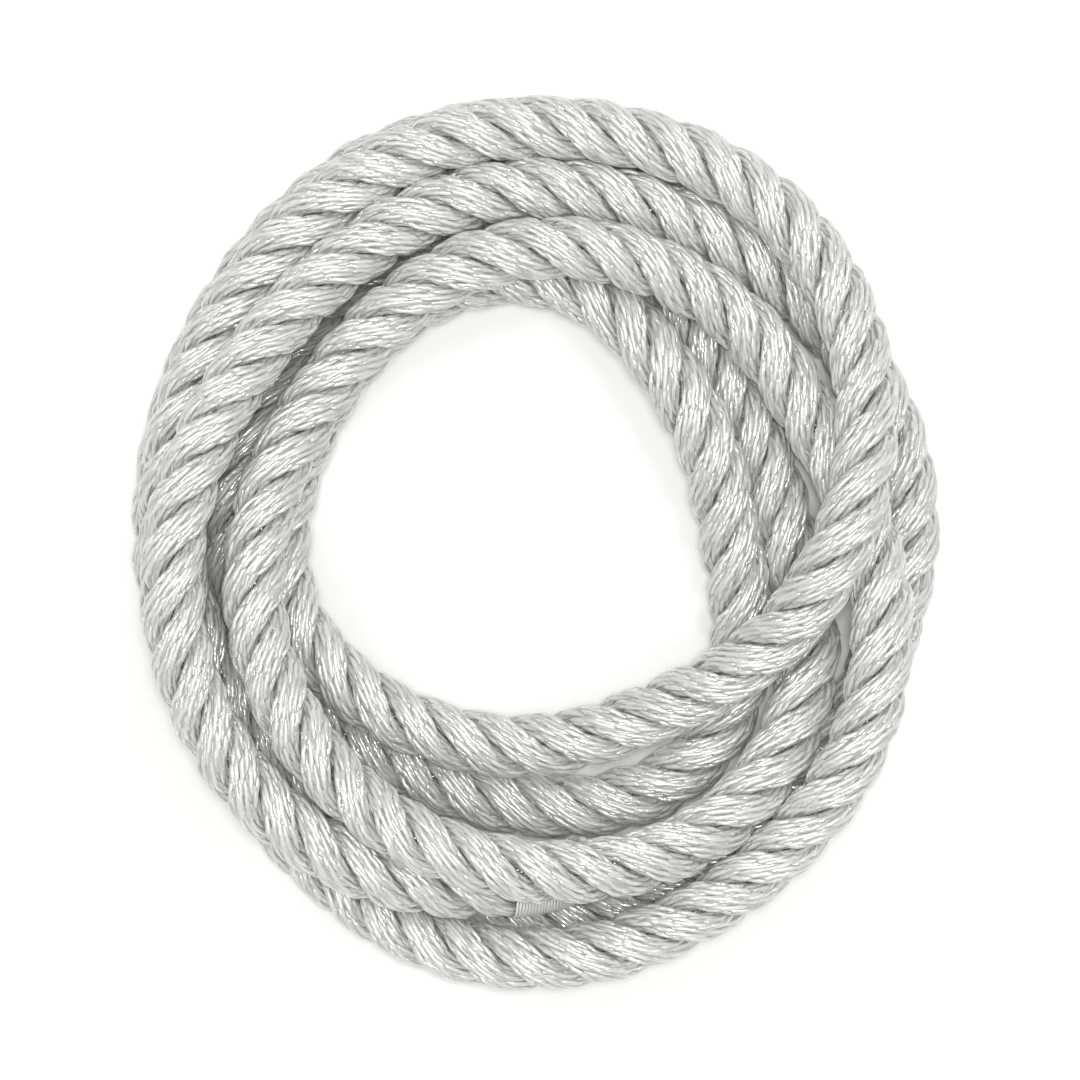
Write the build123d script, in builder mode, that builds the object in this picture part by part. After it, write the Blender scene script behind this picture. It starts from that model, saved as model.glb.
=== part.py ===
from build123d import *
from bisect import bisect_right
from math import ceil, cos, pi, radians, sin
import os

# A coiled dock line: one length of three-strand laid line, wound flat in five and two thirds turns.
# Millimetres. The origin is on the surface the coil rests on, in the middle of the space it takes up,
# and +Z is up.

os.makedirs("parts", exist_ok=True)

# ---------------------------------------------------------------- driving dimensions
LINE_DIAMETER = 12.7  # over the crowns of the three strands: half-inch line
LAY_LENGTH = 31.0  # length of line in which a strand goes once round it, right-handed
STRAND_DIAMETER = 5.48
CORE_DIAMETER = 2.6  # the core yarns in the middle of each strand
CORE_FIT = 0.05  # gap between a strand's core yarns and its cover yarns
STRAND_NAMES = ("a", "b", "c")

TIP_THICKNESS = 1.6  # button of melted nylon that seals a cut end
TIP_DIAMETER = 11.6
TIP_ROUNDING = 0.7
WHIPPING_TWINE = 0.6  # twine bound round the line next to each cut end
WHIPPING_LENGTH = 12.0
WHIPPING_FIT = 0.03
STRAND_START = 3.4  # strands start this far inside the end of the line, behind the sealed tip
WHIPPING_START = 6.5

STRAND_OFFSET = (LINE_DIAMETER - STRAND_DIAMETER) / 2  # from the line's centre to a strand's centre

# ---------------------------------------------------------------- how the line is laid down
# Each turn of the coil, from the first end to the last, as stations 20 degrees apart by compass
# angle (0 is +X, counter-clockwise). A station is the distance from the middle of the turns in mm,
# and the height of the line above the ground in line diameters: 0 lies on the ground.
TURNS_MIDDLE = (-0.2, 3.4)
STATION_STEP = 20.0
FIRST_STATION = 60.0
TURNS = (
    # first turn, from 60 degrees: bottom layer, and at the end it climbs over the turn outside it
    (79.0, 0.05), (79.0, 0.05), (80.0, 0.00), (79.0, 0.00), (75.5, 0.00), (74.5, 0.00),
    (74.5, 0.00), (75.0, 0.00), (76.0, 0.00), (81.0, 0.10), (87.0, 0.70), (86.0, 0.95),
    (82.0, 0.85), (79.5, 0.95), (73.5, 1.10),
    # second turn: upper layer, inside
    (65.5, 0.75), (58.0, 0.50), (58.0, 0.65), (56.5, 1.00), (55.5, 1.35), (54.0, 1.35),
    (51.0, 1.20), (49.0, 1.20), (50.5, 1.40), (54.0, 1.60), (58.5, 1.65), (61.5, 1.75),
    (65.0, 1.75), (67.0, 1.95), (69.5, 1.55), (70.5, 0.95), (66.5, 0.60), (58.5, 0.15),
    # third turn: on the ground under the second
    (48.5, 0.00), (47.5, 0.00), (47.0, 0.00), (53.0, 0.00), (60.5, 0.00), (63.5, 0.00),
    (63.0, 0.00), (61.5, 0.00), (60.5, 0.00), (61.0, 0.00), (61.5, 0.00), (57.5, 0.00),
    (54.5, 0.00), (55.0, 0.00), (57.5, 0.00), (58.5, 0.00), (53.0, 0.00), (43.0, 0.15),
    # fourth turn: the innermost, and at the end it rises over three others
    (37.5, 0.45), (37.5, 0.65), (38.5, 0.80), (42.5, 0.75), (49.0, 0.45), (51.5, 0.25),
    (50.5, 0.20), (49.5, 0.20), (49.0, 0.40), (51.0, 0.60), (52.0, 0.75), (49.0, 0.75),
    (46.0, 0.75), (44.5, 0.60), (43.5, 0.55), (43.0, 0.65), (47.5, 0.95), (54.5, 1.40),
    # fifth turn: crosses from the inside to the outside, then sinks to the ground
    (61.5, 1.85), (70.0, 1.40), (77.0, 1.10), (80.0, 1.05), (79.0, 1.00), (79.0, 1.00),
    (76.5, 1.00), (73.5, 1.00), (73.0, 1.00), (73.0, 1.00), (70.5, 0.95), (68.5, 0.75),
    (67.0, 0.30), (75.5, 0.00), (80.5, 0.00), (76.0, 0.00), (75.5, 0.00), (73.5, 0.00),
    # last turn: from the ground to the top of the pile, and its end tucks under the second turn
    (75.5, 0.00), (74.0, 0.00), (70.0, 0.20), (67.5, 0.50), (67.0, 0.90), (66.5, 1.00),
    (64.5, 1.20), (63.5, 1.55), (65.5, 1.90), (70.5, 2.00), (74.5, 1.90), (76.5, 1.60),
    (77.0, 1.45), (73.0, 1.00), (68.5, 0.50),
)

# ---------------------------------------------------------------- the line's centre
SAMPLES_PER_STATION = 40
DIRECTION_REACH = 1.0  # the line's direction at a place is taken over this much on either side of it
UP = Vector(0, 0, 1)


def smoothed(values, station):
    """A smooth curve that follows the values (a uniform cubic B-spline), read at a station number."""
    padded = [2 * values[0] - values[1], *values, 2 * values[-1] - values[-2]]
    first = min(int(station), len(values) - 2)
    t = station - first
    weights = (
        (1 - t) ** 3,
        3 * t**3 - 6 * t**2 + 4,
        -3 * t**3 + 3 * t**2 + 3 * t + 1,
        t**3,
    )
    return sum(weight * value for weight, value in zip(weights, padded[first:])) / 6


def centre_at_station(station):
    """A point on the centre of the line, by station number."""
    angle = radians(FIRST_STATION + STATION_STEP * station)
    radius = smoothed([radius for radius, level in TURNS], station)
    height = LINE_DIAMETER * (0.5 + smoothed([level for radius, level in TURNS], station))
    middle_x, middle_y = TURNS_MIDDLE
    return Vector(middle_x + radius * cos(angle), middle_y + radius * sin(angle), height)


stations = [n / SAMPLES_PER_STATION for n in range((len(TURNS) - 1) * SAMPLES_PER_STATION + 1)]
centres = [centre_at_station(station) for station in stations]
lengths = [0.0]
for before, after in zip(centres, centres[1:]):
    lengths.append(lengths[-1] + (after - before).length)
LINE_LENGTH = lengths[-1]


def centre_at(length):
    """A point on the centre of the line, by length from its first end."""
    place = min(max(bisect_right(lengths, length) - 1, 0), len(lengths) - 2)
    share = (length - lengths[place]) / (lengths[place + 1] - lengths[place])
    return centres[place] + (centres[place + 1] - centres[place]) * share


def direction_at(length):
    """The direction in which the line runs, by length from its first end."""
    return (centre_at(length + DIRECTION_REACH) - centre_at(length - DIRECTION_REACH)).normalized()


def strand_centre_at(length, number):
    """A point on the centre of one of the three strands, which goes round the line right-handed."""
    forward = direction_at(length)
    side = UP.cross(forward).normalized()
    above = forward.cross(side)
    angle = 2 * pi * (length / LAY_LENGTH + number / len(STRAND_NAMES))
    return centre_at(length) + (side * cos(angle) + above * sin(angle)) * STRAND_OFFSET


# ---------------------------------------------------------------- the strands
POINTS_PER_LAY = 12
LAYS_PER_STRETCH = 2.5  # a strand's surface is swept in stretches this long, each joined to the next

strand_length = LINE_LENGTH - 2 * STRAND_START
lays = strand_length / LAY_LENGTH
points_on_strand = ceil(lays * POINTS_PER_LAY)
stretches = ceil(lays / LAYS_PER_STRETCH)
strand_paths = [
    Edge.make_spline(
        [
            strand_centre_at(STRAND_START + strand_length * n / points_on_strand, number)
            for n in range(points_on_strand + 1)
        ]
    )
    for number in range(len(STRAND_NAMES))
]


def skin(path, diameter):
    """The round surface of a strand along its path, and the discs at its two ends."""
    sides = []
    seam = None
    for number in range(stretches):
        stretch_path = path.trim(number / stretches, (number + 1) / stretches)
        with BuildPart() as stretch:
            with BuildLine():
                add(stretch_path)
            with BuildSketch(Plane(origin=stretch_path @ 0, z_dir=stretch_path % 0, x_dir=seam)):
                Circle(diameter / 2)
            sweep(is_frenet=True, clean=False)
        discs = stretch.faces().filter_by(GeomType.PLANE).sort_by_distance(stretch_path @ 1)
        seam = ((discs[0].edges()[0] @ 0) - (stretch_path @ 1)).normalized()
        sides += stretch.faces().filter_by(GeomType.PLANE, reverse=True)
        if number == 0:
            first_disc = discs[-1]
        last_disc = discs[0]
    return sides, first_disc, last_disc


for name, path in zip(STRAND_NAMES, strand_paths):
    # the cover yarns: a round tube, with its core's room through the middle
    outer_sides, *outer_discs = skin(path, STRAND_DIAMETER)
    inner_sides, *inner_discs = skin(path, CORE_DIAMETER + 2 * CORE_FIT)
    rings = [
        Face(outer.outer_wire(), [inner.outer_wire()])
        for outer, inner in zip(outer_discs, inner_discs)
    ]
    cover_solid = Solid(Shell(outer_sides + inner_sides + rings))
    with BuildPart() as strand_cover:
        add(cover_solid, clean=False)
    strand_cover.part.label = f"strand_{name}_cover"
    export_step(strand_cover.part, f"parts/strand_{name}_cover.step")

    # the core yarns inside it
    core_sides, *core_discs = skin(path, CORE_DIAMETER)
    core_solid = Solid(Shell(core_sides + core_discs))
    with BuildPart() as strand_core:
        add(core_solid, clean=False)
    strand_core.part.label = f"strand_{name}_core"
    export_step(strand_core.part, f"parts/strand_{name}_core.step")


# ---------------------------------------------------------------- the two cut ends
WHIPPING_STEPS = 4  # its path follows the line's centre through this many steps


def end_plane(length, back):
    """A plane across the line at a length along it, facing back to the first end or on to the last."""
    return Plane(origin=centre_at(length), z_dir=direction_at(length) * (-1 if back else 1))


for end, back in (("start", True), ("end", False)):
    # the whipping: a band of twine, a single layer thick, round all three strands
    places = [WHIPPING_START + WHIPPING_LENGTH * n / WHIPPING_STEPS for n in range(WHIPPING_STEPS + 1)]
    if not back:
        places = [LINE_LENGTH - length for length in reversed(places)]
    with BuildPart() as whipping:
        with BuildLine() as whipping_path:
            Spline([centre_at(length) for length in places])
        with BuildSketch(Plane(origin=whipping_path.line @ 0, z_dir=whipping_path.line % 0)):
            Circle(LINE_DIAMETER / 2 + WHIPPING_FIT + WHIPPING_TWINE)
            Circle(LINE_DIAMETER / 2 + WHIPPING_FIT, mode=Mode.SUBTRACT)
        sweep()
    whipping.part.label = f"{end}_whipping"
    export_step(whipping.part, f"parts/{end}_whipping.step")

    # the sealed tip: a button with a rounded rim, against the cut ends of the strands
    inner_face = TIP_THICKNESS if back else LINE_LENGTH - TIP_THICKNESS
    with BuildPart() as sealed_tip:
        with BuildSketch(end_plane(inner_face, back)):
            Circle(TIP_DIAMETER / 2)
        extrude(amount=TIP_THICKNESS)
        fillet(sealed_tip.edges(), radius=TIP_ROUNDING)
    sealed_tip.part.label = f"{end}_sealed_tip"
    export_step(sealed_tip.part, f"parts/{end}_sealed_tip.step")
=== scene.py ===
"""A coiled dock line on a pale floor: three-strand laid nylon, every yarn of it, in metres."""

import math

import bpy
import numpy as np
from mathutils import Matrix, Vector


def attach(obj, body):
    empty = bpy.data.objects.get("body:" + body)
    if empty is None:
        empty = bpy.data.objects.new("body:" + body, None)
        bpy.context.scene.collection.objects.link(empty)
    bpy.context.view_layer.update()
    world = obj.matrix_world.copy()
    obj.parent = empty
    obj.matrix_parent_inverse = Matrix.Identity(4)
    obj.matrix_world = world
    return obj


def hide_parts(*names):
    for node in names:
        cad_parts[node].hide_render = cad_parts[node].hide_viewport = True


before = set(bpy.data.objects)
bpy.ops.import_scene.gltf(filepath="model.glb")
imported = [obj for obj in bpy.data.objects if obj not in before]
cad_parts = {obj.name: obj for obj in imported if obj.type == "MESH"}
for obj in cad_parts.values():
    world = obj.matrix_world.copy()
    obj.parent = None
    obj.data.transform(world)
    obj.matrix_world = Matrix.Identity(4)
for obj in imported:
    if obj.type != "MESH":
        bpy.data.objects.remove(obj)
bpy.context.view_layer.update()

MM = 0.001  # every length below is in millimetres until a mesh is made
rng = np.random.default_rng(11)

# ---------------------------------------------------------------- the line
LINE_DIAMETER = 12.7
LAY_LENGTH = 31.0
STRAND_DIAMETER = 5.48
STRAND_OFFSET = (LINE_DIAMETER - STRAND_DIAMETER) / 2
STRAND_START = 3.4  # strands start this far inside the end of the line, behind the sealed tip
STRAND_NAMES = ("a", "b", "c")

YARNS_PER_STRAND = 14  # cover yarns round each strand
YARN_RADIUS = 0.66
YARN_TWIST = 1.1  # turns of the yarns round their strand in one lay, against the lay
PLY_PITCH = 8.0  # each yarn is two plies twisted together
PLY_DEPTH = 0.2  # how far the two plies make a yarn's section oval, as a share of its radius
YARN_STEP = 0.75  # between the rings of a yarn's mesh
YARN_SIDES = 8

# No two yarns run alike. Each of these is how far something strays along a yarn, with the shortest
# and the longest wave that it strays in, in mm.
WANDER = (0.07, 12, 70)  # in and out of the strand's surface, in mm
SIDEWAYS = (0.10, 18, 90)  # round the strand, in radians
UNEVEN_TWIST = (0.9, 20, 80)  # the plies' twist, in radians
UNEVEN_SIZE = (0.05, 6, 40)  # the yarn's radius, as a share of it

SHOULDER = 0.28  # soft strands press together, and swell this much where they leave room outside
SHOULDER_ANGLE = 60  # degrees either side of straight out from the line
SHOULDER_SPREAD = 28

CORE_RADIUS = 1.95
CORE_STEP = 1.5
CORE_SIDES = 14
CORE_YARNS = 7  # ridges round the core
CORE_RIDGE = 0.08
CORE_TWIST = 1.3  # radians in each step

TWINE_RADIUS = 0.3
TWINE_SIDES = 8
TWINE_RINGS = 28  # in each turn of the whipping
WHIPPING_LENGTH = 12.0
WHIPPING_START = 6.5

TIP_THICKNESS = 1.6  # button of melted nylon on a cut end
TIP_RADIUS = 5.8
TIP_ROUNDING = 1.2
TIP_SIDES = 48
TIP_BACK_INSET = 0.3  # how much narrower its back is than its rim
TIP_MIDDLE = 0.4  # radius of the flat spot in the middle of its face
TIP_DOME = 0.05  # how far that spot stands out
TIP_LUMPS = ((0.015, 3, 1.0), (0.01, 7, 0.0))  # uneven rim: share of the radius, waves, start

# How the line is laid down: stations 20 degrees apart by compass angle, from the first end to the
# last. Each is the distance from the middle of the turns in mm, and the height above the ground in
# line diameters. They began as the output of a settling program and were then adjusted.
TURNS_MIDDLE = (-0.2, 3.4)
STATION_STEP = 20.0
FIRST_STATION = 60.0
SAMPLES_PER_STATION = 40
TURNS = (
    # first turn, from 60 degrees: bottom layer, and at the end it climbs over the turn outside it
    (79.0, 0.05), (79.0, 0.05), (80.0, 0.00), (79.0, 0.00), (75.5, 0.00), (74.5, 0.00),
    (74.5, 0.00), (75.0, 0.00), (76.0, 0.00), (81.0, 0.10), (87.0, 0.70), (86.0, 0.95),
    (82.0, 0.85), (79.5, 0.95), (73.5, 1.10),
    # second turn: upper layer, inside
    (65.5, 0.75), (58.0, 0.50), (58.0, 0.65), (56.5, 1.00), (55.5, 1.35), (54.0, 1.35),
    (51.0, 1.20), (49.0, 1.20), (50.5, 1.40), (54.0, 1.60), (58.5, 1.65), (61.5, 1.75),
    (65.0, 1.75), (67.0, 1.95), (69.5, 1.55), (70.5, 0.95), (66.5, 0.60), (58.5, 0.15),
    # third turn: on the ground under the second
    (48.5, 0.00), (47.5, 0.00), (47.0, 0.00), (53.0, 0.00), (60.5, 0.00), (63.5, 0.00),
    (63.0, 0.00), (61.5, 0.00), (60.5, 0.00), (61.0, 0.00), (61.5, 0.00), (57.5, 0.00),
    (54.5, 0.00), (55.0, 0.00), (57.5, 0.00), (58.5, 0.00), (53.0, 0.00), (43.0, 0.15),
    # fourth turn: the innermost, and at the end it rises over three others
    (37.5, 0.45), (37.5, 0.65), (38.5, 0.80), (42.5, 0.75), (49.0, 0.45), (51.5, 0.25),
    (50.5, 0.20), (49.5, 0.20), (49.0, 0.40), (51.0, 0.60), (52.0, 0.75), (49.0, 0.75),
    (46.0, 0.75), (44.5, 0.60), (43.5, 0.55), (43.0, 0.65), (47.5, 0.95), (54.5, 1.40),
    # fifth turn: crosses from the inside to the outside, then sinks to the ground
    (61.5, 1.85), (70.0, 1.40), (77.0, 1.10), (80.0, 1.05), (79.0, 1.00), (79.0, 1.00),
    (76.5, 1.00), (73.5, 1.00), (73.0, 1.00), (73.0, 1.00), (70.5, 0.95), (68.5, 0.75),
    (67.0, 0.30), (75.5, 0.00), (80.5, 0.00), (76.0, 0.00), (75.5, 0.00), (73.5, 0.00),
    # last turn: from the ground to the top of the pile, and its end tucks under the second turn
    (75.5, 0.00), (74.0, 0.00), (70.0, 0.20), (67.5, 0.50), (67.0, 0.90), (66.5, 1.00),
    (64.5, 1.20), (63.5, 1.55), (65.5, 1.90), (70.5, 2.00), (74.5, 1.90), (76.5, 1.60),
    (77.0, 1.45), (73.0, 1.00), (68.5, 0.50),
)


# ---------------------------------------------------------------- centre lines
def smoothed(values, station):
    """A smooth curve that follows the values (a uniform cubic B-spline), read at station numbers."""
    values = np.asarray(values, float)
    padded = np.concatenate(([2 * values[0] - values[1]], values, [2 * values[-1] - values[-2]]))
    first = np.minimum(station.astype(int), len(values) - 2)
    t = station - first
    total = (1 - t) ** 3 * padded[first]
    total += (3 * t**3 - 6 * t**2 + 4) * padded[first + 1]
    total += (-3 * t**3 + 3 * t**2 + 3 * t + 1) * padded[first + 2]
    total += t**3 * padded[first + 3]
    return total / 6


def unit(v):
    """Rows of v at length one."""
    return v / np.linalg.norm(v, axis=1)[:, None]


def resample(points, places, wanted):
    """Rows of points, known at places, read at the wanted places."""
    return np.column_stack([np.interp(wanted, places, points[:, k]) for k in range(3)])


def line_centre():
    """Points on the line's centre and how far along the line each one is."""
    plan = np.array(TURNS)
    station = np.linspace(0, len(plan) - 1, SAMPLES_PER_STATION * len(plan))
    angle = np.radians(FIRST_STATION + STATION_STEP * station)
    radius = smoothed(plan[:, 0], station)
    height = LINE_DIAMETER * (0.5 + smoothed(plan[:, 1], station))
    middle_x, middle_y = TURNS_MIDDLE
    points = np.column_stack(
        [middle_x + radius * np.cos(angle), middle_y + radius * np.sin(angle), height]
    )
    steps = np.linalg.norm(np.diff(points, axis=0), axis=1)
    return points, np.concatenate(([0], np.cumsum(steps)))


CENTRE, PLACES = line_centre()
LINE_LENGTH = PLACES[-1]
DIRECTION_REACH = 1.0  # the line's direction at a place is taken over this much on either side of it
UP = np.array([0.0, 0.0, 1.0])


def line_frame(length):
    """Centre, sideways direction and upward direction of the line at lengths along it."""
    middle = resample(CENTRE, PLACES, length)
    ahead = resample(CENTRE, PLACES, np.minimum(length + DIRECTION_REACH, LINE_LENGTH))
    behind = resample(CENTRE, PLACES, np.maximum(length - DIRECTION_REACH, 0))
    forward = unit(ahead - behind)
    side = unit(np.cross(UP, forward))
    return middle, side, np.cross(forward, side)


def strand_frame(length, number):
    """Centre of a strand, the direction out from the line's centre there, and the one across it."""
    middle, side, above = line_frame(length)
    angle = 2 * np.pi * (length / LAY_LENGTH + number / len(STRAND_NAMES))
    out = side * np.cos(angle)[:, None] + above * np.sin(angle)[:, None]
    centre = middle + out * STRAND_OFFSET
    forward = unit(np.gradient(centre, axis=0))
    out = unit(out - forward * np.sum(out * forward, axis=1)[:, None])
    return centre, out, np.cross(forward, out)


def swell(around):
    """How much further out a strand's surface lies, at angles round it from straight out."""
    turn = np.degrees(np.abs(np.angle(np.exp(1j * around))))
    return 1 + SHOULDER * np.exp(-(((turn - SHOULDER_ANGLE) / SHOULDER_SPREAD) ** 2))


def waver(length, size, shortest, longest):
    """A smooth random wave along the line, a sum of sines with random lengths and starts."""
    waves = 5
    total = np.zeros_like(length)
    for _ in range(waves):
        wavelength = rng.uniform(shortest, longest)
        start = rng.uniform(0, 2 * np.pi)
        total += np.sin(2 * np.pi * length / wavelength + start)
    return total * size / math.sqrt(waves / 2)


# ---------------------------------------------------------------- meshes
def closed_mesh(name, points):
    """An object from rings of points in mm: quads from each ring to the next, and a cap at each end."""
    rings, sides = points.shape[:2]
    corner = np.arange(rings * sides).reshape(rings, sides)
    nearer = corner[:-1]
    further = corner[1:]
    quads = np.stack([nearer, np.roll(nearer, -1, 1), np.roll(further, -1, 1), further], axis=-1)
    faces = quads.reshape(-1, 4).tolist() + [corner[0, ::-1].tolist(), corner[-1].tolist()]
    mesh = bpy.data.meshes.new(name)
    mesh.from_pydata((points.reshape(-1, 3) * MM).tolist(), [], faces)
    mesh.shade_smooth()
    piece = bpy.data.objects.new(name, mesh)
    bpy.context.collection.objects.link(piece)
    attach(piece, "root")
    return piece


def dress(piece, material, node):
    """Give a piece its material, and show it in place of its CAD node."""
    piece.data.materials.append(material)
    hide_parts(node)


def tube(name, centre, out, section, sides, spin=None):
    """A closed tube with rings round centre. section(angle, ring number) is the radius in mm."""
    rings = len(centre)
    forward = unit(np.gradient(centre, axis=0))
    out = unit(out - forward * np.sum(out * forward, axis=1)[:, None])
    across = np.cross(forward, out)
    angle = 2 * np.pi * np.arange(sides) / sides
    ring = np.arange(rings)
    radius = section(angle[None, :], ring[:, None])
    points = centre[:, None, :] + radius[:, :, None] * (
        np.cos(angle)[None, :, None] * out[:, None, :]
        + np.sin(angle)[None, :, None] * across[:, None, :]
    )
    piece = closed_mesh(name, points)
    # each corner's place in the tube's own space, for the material
    along = np.concatenate(([0], np.cumsum(np.linalg.norm(np.diff(centre, axis=0), axis=1))))
    turn = angle[None, :] - (spin if spin is not None else np.zeros(rings))[:, None]
    fibre = np.stack(
        [np.cos(turn), np.sin(turn), np.broadcast_to(along[:, None], turn.shape)], axis=-1
    )
    fibre[:, :, 2] += rng.uniform(0, NOISE_SHIFT)
    layer = piece.data.attributes.new("fibre", "FLOAT_VECTOR", "POINT")
    layer.data.foreach_set("vector", fibre.reshape(-1).astype(np.float32))
    return piece


def lengths(step):
    """Places along the line from one end of the strands to the other."""
    count = int((LINE_LENGTH - 2 * STRAND_START) / step) + 1
    return np.linspace(STRAND_START, LINE_LENGTH - STRAND_START, count)


# ---------------------------------------------------------------- materials
# Noise in a yarn's own space: waves for each unit of the cosine and sine of the angle round it, and
# for each mm along it.
FIBRE_NOISE = (3.5, 3.5, 0.35)
PATCH_NOISE = (0.6, 0.6, 0.3)
PLY_NOISE = (0.0, 0.0, 0.45)
NOISE_SHIFT = 500  # each tube's noise starts up to this many mm along, so that no two look alike
PLY_WAVER = 2.0  # tangent of the most that the plies lean to either side of their twist
HIGHLIGHT_SHARPNESS = 3.0  # a higher number makes the painted highlights on the plies' crests narrower
PLY_ROUNDNESS = 0.5  # power of the relief across a ply: a lower number makes its top flatter
LEAST_HIGHLIGHT = 0.7  # share of the painted highlight colour on a crest where the fibres' noise is lowest
YARN_TONES = (0.95, 1.03)  # the darkest and the lightest yarn, as a share of its colour
DULLER = 0.16  # the most that a patch's roughness goes above a material's own
GLOSSIER = 0.12  # and below it
FIBRE_RELIEF = 0.08  # height of the fine fibres, in mm
FIBRE_STRENGTH = 0.4


def new_material(name):
    """An empty node material with its shader and output, and a function that adds linked nodes."""
    material = bpy.data.materials.new(name)
    material.use_nodes = True
    nodes = material.node_tree.nodes
    shader = nodes["Principled BSDF"]

    def node(kind, links=None, **settings):
        made = nodes.new(kind)
        for key, value in settings.items():
            if key.startswith("in_"):
                made.inputs[key[3:].replace("_", " ")].default_value = value
            else:
                setattr(made, key, value)
        for socket, source in (links or {}).items():
            material.node_tree.links.new(source, made.inputs[socket])
        return made

    def into_shader(socket, source):
        material.node_tree.links.new(source, shader.inputs[socket])

    return material, shader, node, into_shader


def nylon(name, crest_highlight, groove_shade, roughness, gloss, ply_relief, see_through):
    """Silky twisted nylon: fibres and plies in relief, uneven sheen and slight colour changes.

    The two colours are painted light: the first a highlight on the plies' crests, the second shade in
    the grooves between them.
    ply_relief is how high the crests stand, in mm. see_through is the share of light that passes
    through.
    """
    material, shader, node, into_shader = new_material(name)
    fibre = node("ShaderNodeAttribute", attribute_name="fibre").outputs["Vector"]
    own = node("ShaderNodeObjectInfo").outputs["Random"]

    def noise(scale, detail):
        """Noise in the yarn's own space: cosine and sine of the angle round it, and length in mm."""
        space = node("ShaderNodeVectorMath", {0: fibre}, operation="MULTIPLY")
        space.inputs[1].default_value = scale
        return node(
            "ShaderNodeTexNoise", {"Vector": space.outputs[0]}, in_Scale=1.0, in_Detail=detail
        ).outputs[0]

    fine = noise(FIBRE_NOISE, 3.0)
    patch = noise(PATCH_NOISE, 2.0)
    # how strong the painted highlight on the crests is, varying with the fibres' noise
    highlight_strength = node("ShaderNodeMath", {0: fine, 1: patch}, operation="MULTIPLY_ADD")
    highlight_strength.inputs[2].default_value = LEAST_HIGHLIGHT
    # two rounded plies with a groove between them, that waver a little: the colour paints a highlight
    # on the crests and shade in the grooves
    parts = node("ShaderNodeSeparateXYZ", {"Vector": fibre})
    lean = node("ShaderNodeMath", {0: noise(PLY_NOISE, 1.0)}, operation="MULTIPLY_ADD")
    lean.inputs[1].default_value = 2 * PLY_WAVER
    lean.inputs[2].default_value = -PLY_WAVER
    across = node(
        "ShaderNodeMath",
        {0: parts.outputs["Y"], 1: lean.outputs[0], 2: parts.outputs["X"]},
        operation="MULTIPLY_ADD",
    )
    ply = node("ShaderNodeMath", {0: across.outputs[0]}, operation="ABSOLUTE")
    highlight_mask = node("ShaderNodeMath", {0: ply.outputs[0]}, operation="POWER")
    highlight_mask.inputs[1].default_value = HIGHLIGHT_SHARPNESS
    painted_highlight = node("ShaderNodeMath", {0: highlight_strength.outputs[0], 1: highlight_mask.outputs[0]}, operation="MULTIPLY")
    mix = node("ShaderNodeMix", {"Factor": painted_highlight.outputs[0]}, data_type="RGBA")
    mix.inputs["A"].default_value = (*groove_shade, 1)
    mix.inputs["B"].default_value = (*crest_highlight, 1)
    own_tone = node("ShaderNodeMapRange", {"Value": own})
    own_tone.inputs["To Min"].default_value = YARN_TONES[0]
    own_tone.inputs["To Max"].default_value = YARN_TONES[1]
    varied = node(
        "ShaderNodeVectorMath",
        {0: mix.outputs["Result"], 1: own_tone.outputs["Result"]},
        operation="MULTIPLY",
    )
    into_shader("Base Color", varied.outputs[0])
    rough = node("ShaderNodeMapRange", {"Value": patch})
    rough.inputs["To Min"].default_value = roughness - GLOSSIER
    rough.inputs["To Max"].default_value = roughness + DULLER
    into_shader("Roughness", rough.outputs["Result"])

    # relief: the two plies, and fine fibres over both
    ply_height = node("ShaderNodeMath", {0: ply.outputs[0]}, operation="POWER")
    ply_height.inputs[1].default_value = PLY_ROUNDNESS
    plies = node("ShaderNodeBump", {"Height": ply_height.outputs[0]})
    plies.inputs["Strength"].default_value = 1.0
    plies.inputs["Distance"].default_value = ply_relief * MM
    fine_relief = node("ShaderNodeBump", {"Height": fine, "Normal": plies.outputs[0]})
    fine_relief.inputs["Strength"].default_value = FIBRE_STRENGTH
    fine_relief.inputs["Distance"].default_value = FIBRE_RELIEF * MM
    into_shader("Normal", fine_relief.outputs["Normal"])
    shader.inputs["Specular IOR Level"].default_value = 1.0
    shader.inputs["Metallic"].default_value = gloss
    shader.inputs["Sheen Weight"].default_value = 0.1
    shader.inputs["Sheen Roughness"].default_value = 0.4

    # light passes through thin nylon, so the hollows between yarns stay pale
    through = node("ShaderNodeBsdfTranslucent", {"Color": varied.outputs[0]})
    both = node("ShaderNodeMixShader", {1: shader.outputs["BSDF"], 2: through.outputs["BSDF"]})
    both.inputs[0].default_value = see_through
    output = material.node_tree.nodes["Material Output"]
    material.node_tree.links.new(both.outputs[0], output.inputs["Surface"])
    return material


def melted(name):
    """Nylon melted and set: smooth, slightly yellowed, with faint ripples."""
    material, shader, node, into_shader = new_material(name)
    place = node("ShaderNodeTexCoord")
    ripples = node(
        "ShaderNodeTexNoise", {"Vector": place.outputs["Object"]}, in_Scale=700.0, in_Detail=3.0
    )
    mix = node("ShaderNodeMix", {"Factor": ripples.outputs[0]}, data_type="RGBA")
    mix.inputs["A"].default_value = (0.72, 0.68, 0.60, 1)
    mix.inputs["B"].default_value = (0.86, 0.83, 0.76, 1)
    into_shader("Base Color", mix.outputs["Result"])
    bump = node("ShaderNodeBump", {"Height": ripples.outputs[0]})
    bump.inputs["Distance"].default_value = 0.1 * MM
    into_shader("Normal", bump.outputs["Normal"])
    shader.inputs["Roughness"].default_value = 0.28
    return material


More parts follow.
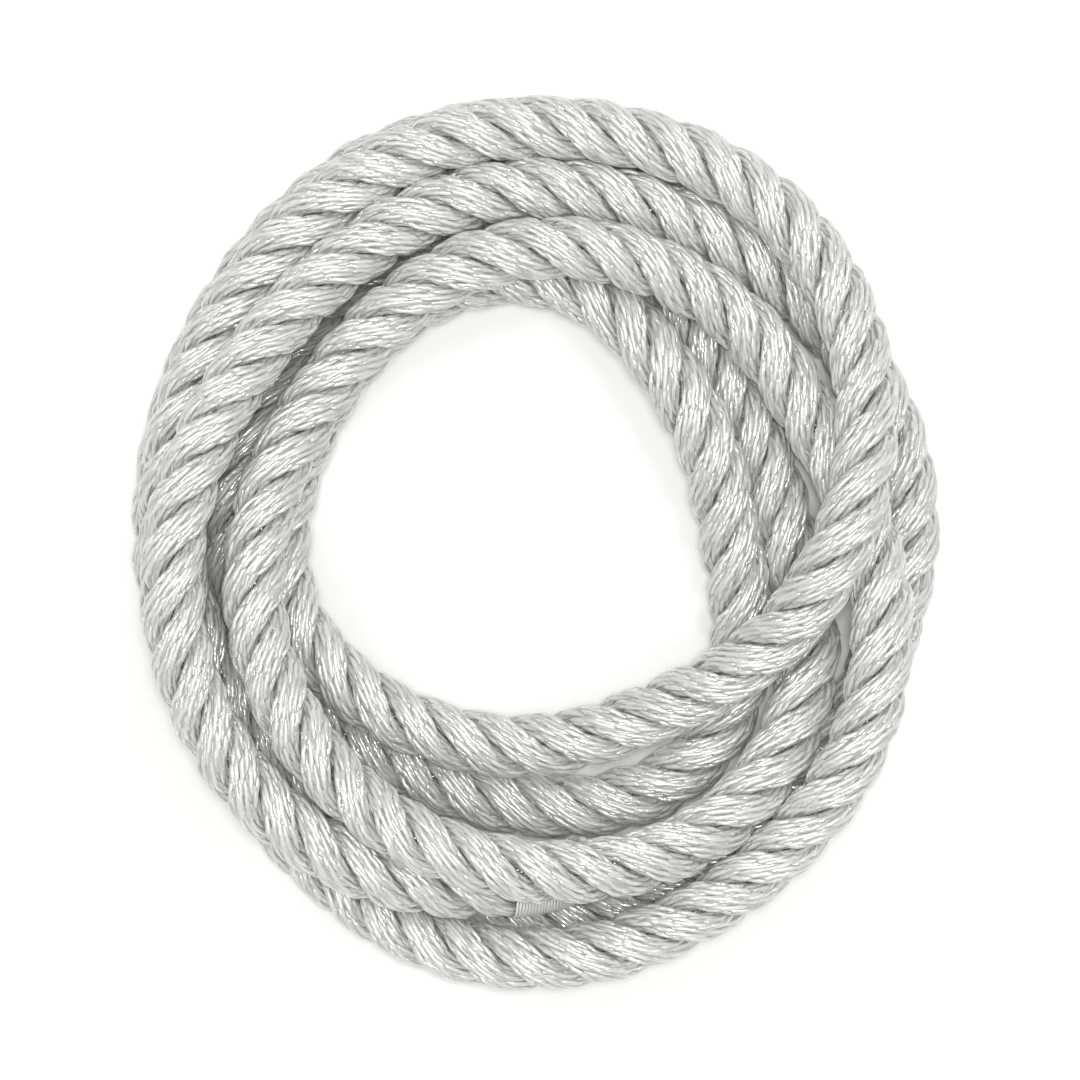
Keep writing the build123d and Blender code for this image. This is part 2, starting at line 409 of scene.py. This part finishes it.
# each nylon's first colour is a painted highlight on the plies' crests, and its second is painted shade
# in the grooves
cover_nylon = nylon(
    "cover nylon",
    crest_highlight=(1.0, 1.0, 0.99),
    groove_shade=(0.80, 0.805, 0.77),
    roughness=0.2,
    gloss=0.4,
    ply_relief=0.3,
    see_through=0.26,
)
core_nylon = nylon(
    "core nylon",
    crest_highlight=(0.96, 0.95, 0.91),
    groove_shade=(0.86, 0.85, 0.80),
    roughness=0.6,
    gloss=0.0,
    ply_relief=0.1,
    see_through=0.1,
)
twine_nylon = nylon(
    "waxed twine",
    crest_highlight=(0.90, 0.89, 0.85),
    groove_shade=(0.72, 0.71, 0.67),
    roughness=0.5,
    gloss=0.0,
    ply_relief=0.1,
    see_through=0.1,
)
tip_nylon = melted("melted nylon")


# ---------------------------------------------------------------- the strands
def core_section(angle, ring):
    """The section of a bundle of twisted core yarns."""
    return CORE_RADIUS + CORE_RIDGE * np.cos(CORE_YARNS * angle - CORE_TWIST * ring)


def ply_section(spin, radius):
    """The section of a two-ply yarn: an oval that turns with the twist of the plies."""

    def section(angle, ring):
        return radius[ring] * (1 + PLY_DEPTH * np.cos(2 * (angle - spin[ring])))

    return section


for number, strand in enumerate(STRAND_NAMES):
    length = lengths(YARN_STEP)
    centre, out, across = strand_frame(length, number)
    ring_radius = STRAND_DIAMETER / 2 - YARN_RADIUS
    for yarn in range(YARNS_PER_STRAND):
        around = 2 * np.pi * (yarn / YARNS_PER_STRAND - YARN_TWIST * length / LAY_LENGTH)
        around += waver(length, *SIDEWAYS)
        reach = ring_radius * swell(around) + waver(length, *WANDER)
        direction = out * np.cos(around)[:, None] + across * np.sin(around)[:, None]
        yarn_centre = centre + direction * reach[:, None]
        spin = 2 * np.pi * length / PLY_PITCH + rng.uniform(0, 2 * np.pi)
        spin += waver(length, *UNEVEN_TWIST)
        radius = YARN_RADIUS * (1 + waver(length, *UNEVEN_SIZE))
        piece = tube(
            f"strand_{strand}_yarn_{yarn + 1:02d}",
            yarn_centre,
            direction,
            ply_section(spin, radius),
            YARN_SIDES,
            spin,
        )
        dress(piece, cover_nylon, f"strand_{strand}_cover")

    length = lengths(CORE_STEP)
    centre, out, across = strand_frame(length, number)
    piece = tube(f"strand_{strand}_core_yarns", centre, out, core_section, CORE_SIDES)
    dress(piece, core_nylon, f"strand_{strand}_core")


# ---------------------------------------------------------------- the two cut ends
def twine_section(angle, ring):
    """The round section of the whipping twine."""
    return np.full(np.broadcast(angle, ring).shape, TWINE_RADIUS)


def whipping(name, start):
    """A single layer of twine, bound round the line turn against turn."""
    turns = WHIPPING_LENGTH / (2 * TWINE_RADIUS) - 1
    angle = np.linspace(0, 2 * np.pi * turns, int(turns * TWINE_RINGS))
    length = start + TWINE_RADIUS + angle / (2 * np.pi) * 2 * TWINE_RADIUS
    middle, side, above = line_frame(length)
    out = side * np.cos(angle)[:, None] + above * np.sin(angle)[:, None]
    centre = middle + out * (LINE_DIAMETER / 2 + TWINE_RADIUS)
    twist = 3 * angle
    piece = tube(name, centre, out, twine_section, TWINE_SIDES, twist)
    dress(piece, twine_nylon, name.replace("_twine", ""))


def sealed_tip(name, length, away):
    """A button of melted nylon with a domed face. away is 1 or -1, the way it faces on the line."""
    middle, side, above = line_frame(np.array([length]))
    forward = np.cross(side, above) * away
    # from the flat back, round the rim, to the middle of the face
    rim = np.radians(np.arange(0, 91, 15))
    straight = TIP_THICKNESS - TIP_ROUNDING
    face = TIP_THICKNESS + TIP_DOME
    depth = np.concatenate(([0.0], straight + TIP_ROUNDING * np.sin(rim), [face]))
    width = TIP_RADIUS - TIP_ROUNDING * (1 - np.cos(rim))
    width = np.concatenate(([TIP_RADIUS - TIP_BACK_INSET], width, [TIP_MIDDLE]))
    centre = middle + forward * depth[:, None]
    turn = 2 * np.pi * np.arange(TIP_SIDES) / TIP_SIDES
    lumps = 1 + sum(share * np.sin(waves * turn + start) for share, waves, start in TIP_LUMPS)
    points = centre[:, None, :] + (width[:, None] * lumps[None, :])[:, :, None] * (
        np.cos(turn)[None, :, None] * side[:, None, :]
        + np.sin(turn)[None, :, None] * above[:, None, :] * away
    )
    piece = closed_mesh(name, points)
    dress(piece, tip_nylon, name.replace("_button", ""))


whipping("start_whipping_twine", WHIPPING_START)
whipping("end_whipping_twine", LINE_LENGTH - WHIPPING_START - WHIPPING_LENGTH)
sealed_tip("start_sealed_tip_button", TIP_THICKNESS, -1)
sealed_tip("end_sealed_tip_button", LINE_LENGTH - TIP_THICKNESS, 1)


# ---------------------------------------------------------------- floor, light and camera
HALF_WAY_UP = 0.02  # in the coil's height, from here on in metres
FLOOR_SIZE = 4.0
FLOOR_DROP = 0.0002  # the floor lies this far below the ground, as the lowest yarns reach under it
SMALL_LAMP = 0.18
LARGE_LAMP = 0.25


def floor():
    """A plain near-white floor."""
    bpy.ops.mesh.primitive_plane_add(size=FLOOR_SIZE, location=(0, 0, -FLOOR_DROP))
    plane = bpy.context.object
    plane.name = "floor"
    material, shader, node, into_shader = new_material("floor")
    shader.inputs["Base Color"].default_value = (0.92, 0.92, 0.89, 1)
    shader.inputs["Roughness"].default_value = 0.9
    plane.data.materials.append(material)


def area_light(name, place, size, power):
    """A square soft light aimed at the middle of the coil."""
    data = bpy.data.lights.new(name, "AREA")
    data.size = size
    data.energy = power
    lamp = bpy.data.objects.new(name, data)
    bpy.context.collection.objects.link(lamp)
    lamp.location = place
    aim = Vector((0, 0, HALF_WAY_UP)) - lamp.location
    lamp.rotation_euler = aim.to_track_quat("-Z", "Y").to_euler()


floor()
area_light("overhead", (0.02, 0.04, 1.7), LARGE_LAMP, 12.6)
area_light("key", (0.20, 0.50, 0.95), SMALL_LAMP, 2.1)
area_light("left", (-0.50, 0.20, 0.95), SMALL_LAMP, 1.4)
area_light("right", (0.50, -0.10, 0.95), SMALL_LAMP, 1.4)
area_light("near", (-0.15, -0.50, 0.95), SMALL_LAMP, 1.2)

world = bpy.data.worlds.new("studio")
world.use_nodes = True
world.node_tree.nodes["Background"].inputs["Color"].default_value = (1, 1, 1, 1)
world.node_tree.nodes["Background"].inputs["Strength"].default_value = 0.5
bpy.context.scene.world = world
bpy.context.scene.view_settings.view_transform = "Standard"  # a white floor looks white

VIEW_WIDTH = 0.2143  # what the square picture spans, half way up the coil
CAMERA_HEIGHT = 1.2
PICTURE_MIDDLE = (0.8 * MM, 0.4 * MM)
SENSOR = 36  # mm
lens = bpy.data.cameras.new("camera")
lens.sensor_width = SENSOR
lens.lens = SENSOR * (CAMERA_HEIGHT - HALF_WAY_UP) / VIEW_WIDTH
lens.clip_end = 20
camera = bpy.data.objects.new("camera", lens)
bpy.context.collection.objects.link(camera)
camera.location = (*PICTURE_MIDDLE, CAMERA_HEIGHT)
bpy.context.scene.camera = camera
